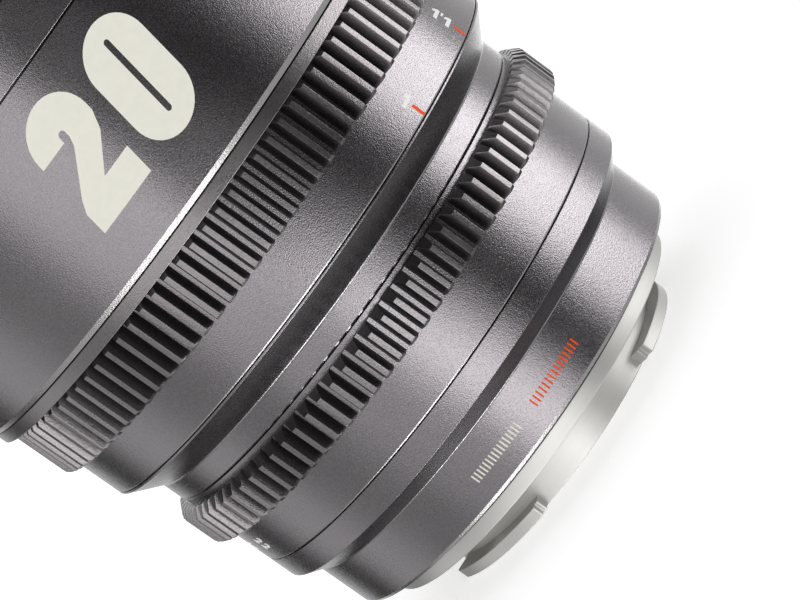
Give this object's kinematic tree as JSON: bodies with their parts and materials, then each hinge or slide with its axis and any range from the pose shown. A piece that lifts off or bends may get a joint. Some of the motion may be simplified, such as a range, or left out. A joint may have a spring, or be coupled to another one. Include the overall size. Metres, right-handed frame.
{
  "type": "prime lens",
  "caption": "Wide-angle cinema prime lens with toothed focus and aperture rings, a working bladed iris, a sliding focusing group and a steel bayonet mount.",
  "frame": {"origin": "centre of the bayonet's register cylinder in the flange plane", "axes": "+Z along the optical axis towards the front glass, -Y towards the side with the large numerals, +X to its right"},
  "size_m": [0.085, 0.085, 0.0922],
  "materials": {
    "anodised_barrel": "dark grey satin anodised with a fine bead-blasted grain",
    "stainless_mount": "turned stainless steel, satin",
    "bright_screws": "plain stainless",
    "dark_screws": "blackened steel",
    "spring_steel": "ground steel",
    "black_inner": "matt black anodised against stray light",
    "alloy_inner": "black anodised, machined",
    "brass_thread": "machined and greased",
    "index_bead": "glossy bead",
    "washer_plastic": "slippery white plastic",
    "coated_glass": "polished optical glass with a thin coating",
    "blade_steel": "thin blackened spring steel"
  },
  "bodies": {
    "housing": {"bayonet_mount": "stainless_mount", "mount_screws": "bright_screws", "mount_shim": "spring_steel", "rear_baffle": "black_inner", "rear_barrel": "anodised_barrel", "mount_index_bead": "index_bead", "main_tube": "alloy_inner", "barrel_lock_screws": "dark_screws", "neck_lock_screws": "dark_screws", "cell_lock_screws": "dark_screws", "index_collar": "anodised_barrel", "focus_stop_pin": "spring_steel", "thrust_washer_rear": "washer_plastic", "thrust_washer_front": "washer_plastic", "front_barrel": "anodised_barrel", "front_ring": "anodised_barrel", "front_bezel": "black_inner", "front_cell": "black_inner", "front_cell_screws": "dark_screws", "front_element": "coated_glass", "front_retainer": "black_inner", "second_element": "coated_glass", "second_retainer": "black_inner", "third_element": "coated_glass", "third_retainer": "black_inner", "iris_housing": "alloy_inner", "iris_cover": "alloy_inner", "rear_cell": "black_inner", "rear_front_element": "coated_glass", "rear_flint_element": "coated_glass", "rear_spacer": "black_inner", "rear_element": "coated_glass", "rear_retainer": "black_inner"},
    "focus_rotor": {"focus_ring": "anodised_barrel", "focus_collar": "anodised_barrel", "focus_collar_screws": "dark_screws", "helicoid_ring": "brass_thread", "helicoid_retainer": "brass_thread"},
    "focus_group": {"focus_carrier": "alloy_inner", "helicoid_lugs": "brass_thread", "lug_screws": "bright_screws", "focus_front_element": "coated_glass", "focus_rear_element": "coated_glass", "focus_retainer": "black_inner"},
    "aperture_rotor": {"aperture_ring": "anodised_barrel", "aperture_ring_pin": "spring_steel", "iris_cam_ring": "brass_thread"},
    "blade_1": {"iris_blade_1": "blade_steel"},
    "blade_2": {"iris_blade_2": "blade_steel"},
    "blade_3": {"iris_blade_3": "blade_steel"},
    "blade_4": {"iris_blade_4": "blade_steel"},
    "blade_5": {"iris_blade_5": "blade_steel"},
    "blade_6": {"iris_blade_6": "blade_steel"},
    "blade_7": {"iris_blade_7": "blade_steel"},
    "blade_8": {"iris_blade_8": "blade_steel"},
    "blade_9": {"iris_blade_9": "blade_steel"}
  },
  "joints": [
    {"name": "focus_turn", "type": "hinge", "parent": "housing", "child": "focus_rotor", "pos_m": [0, 0, 0.0455], "axis": [0, 0, 1], "range_deg": [0, 194]},
    {"name": "focus_slide", "type": "slide", "parent": "housing", "child": "focus_group", "axis": [0, 0, 1], "range_m": [0, 0.00322]},
    {"name": "aperture_turn", "type": "hinge", "parent": "housing", "child": "aperture_rotor", "pos_m": [0, 0, 0.027], "axis": [0, 0, -1], "range_deg": [0, 63]},
    {"name": "blade_1_swing", "type": "hinge", "parent": "housing", "child": "blade_1", "pos_m": [0.0205, 0, 0.0241], "axis": [0, 0, 1], "range_deg": [0, 29]},
    {"name": "blade_2_swing", "type": "hinge", "parent": "housing", "child": "blade_2", "pos_m": [0.0157, 0.01318, 0.02426], "axis": [0, 0, 1], "range_deg": [0, 29]},
    {"name": "blade_3_swing", "type": "hinge", "parent": "housing", "child": "blade_3", "pos_m": [0.00356, 0.02019, 0.02442], "axis": [0, 0, 1], "range_deg": [0, 29]},
    {"name": "blade_4_swing", "type": "hinge", "parent": "housing", "child": "blade_4", "pos_m": [-0.01025, 0.01775, 0.02458], "axis": [0, 0, 1], "range_deg": [0, 29]},
    {"name": "blade_5_swing", "type": "hinge", "parent": "housing", "child": "blade_5", "pos_m": [-0.01926, 0.00701, 0.02474], "axis": [0, 0, 1], "range_deg": [0, 29]},
    {"name": "blade_6_swing", "type": "hinge", "parent": "housing", "child": "blade_6", "pos_m": [-0.01926, -0.00701, 0.0249], "axis": [0, 0, 1], "range_deg": [0, 29]},
    {"name": "blade_7_swing", "type": "hinge", "parent": "housing", "child": "blade_7", "pos_m": [-0.01025, -0.01775, 0.02506], "axis": [0, 0, 1], "range_deg": [0, 29]},
    {"name": "blade_8_swing", "type": "hinge", "parent": "housing", "child": "blade_8", "pos_m": [0.00356, -0.02019, 0.02522], "axis": [0, 0, 1], "range_deg": [0, 29]},
    {"name": "blade_9_swing", "type": "hinge", "parent": "housing", "child": "blade_9", "pos_m": [0.0157, -0.01318, 0.02538], "axis": [0, 0, 1], "range_deg": [0, 29]}
  ],
  "couplings": [
    {"joint": "focus_slide", "follows": "focus_turn", "m_per_rad": 0.00095},
    {"joint": "blade_1_swing", "follows": "aperture_turn", "ratio": 0.46},
    {"joint": "blade_2_swing", "follows": "aperture_turn", "ratio": 0.46},
    {"joint": "blade_3_swing", "follows": "aperture_turn", "ratio": 0.46},
    {"joint": "blade_4_swing", "follows": "aperture_turn", "ratio": 0.46},
    {"joint": "blade_5_swing", "follows": "aperture_turn", "ratio": 0.46},
    {"joint": "blade_6_swing", "follows": "aperture_turn", "ratio": 0.46},
    {"joint": "blade_7_swing", "follows": "aperture_turn", "ratio": 0.46},
    {"joint": "blade_8_swing", "follows": "aperture_turn", "ratio": 0.46},
    {"joint": "blade_9_swing", "follows": "aperture_turn", "ratio": 0.46}
  ]
}
